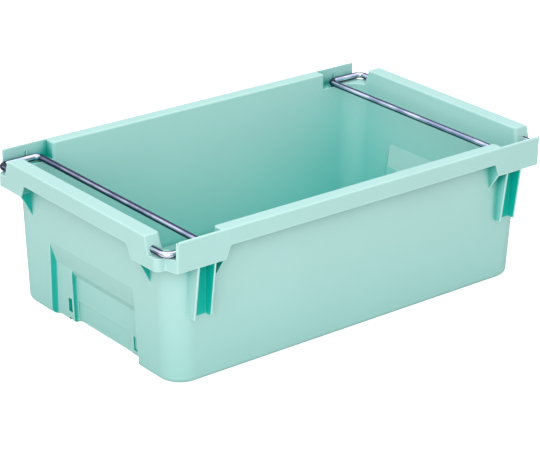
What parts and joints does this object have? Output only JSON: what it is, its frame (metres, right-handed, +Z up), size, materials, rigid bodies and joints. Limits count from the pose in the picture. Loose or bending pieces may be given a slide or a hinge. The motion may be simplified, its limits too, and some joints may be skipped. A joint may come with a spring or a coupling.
{
  "type": "sterilization container",
  "caption": "Open stack-and-nest plastic tub with a moulded rim and a swinging wire bail at each end, for holding and stacking instruments or goods being cleaned.",
  "frame": {"origin": "middle of the underside, in the plane of the ring the tub stands on", "axes": "+X along the tub, so the bails are at its two ends; +Y across it; +Z up, out of the mouth"},
  "size_m": [0.658, 0.4, 0.21],
  "materials": {
    "tub_plastic": "satin moulded polypropylene",
    "bail_wire": "bright drawn stainless wire"
  },
  "bodies": {
    "tub": {"tub": "tub_plastic"},
    "left_bail": {"left_bail": "bail_wire"},
    "right_bail": {"right_bail": "bail_wire"}
  },
  "joints": [
    {"name": "left_bail_swing", "type": "hinge", "parent": "tub", "child": "left_bail", "pos_m": [-0.32, 0, 0.192], "axis": [0, -1, 0], "range_deg": [0, 270]},
    {"name": "right_bail_swing", "type": "hinge", "parent": "tub", "child": "right_bail", "pos_m": [0.32, 0, 0.192], "axis": [0, 1, 0], "range_deg": [0, 270]}
  ]
}
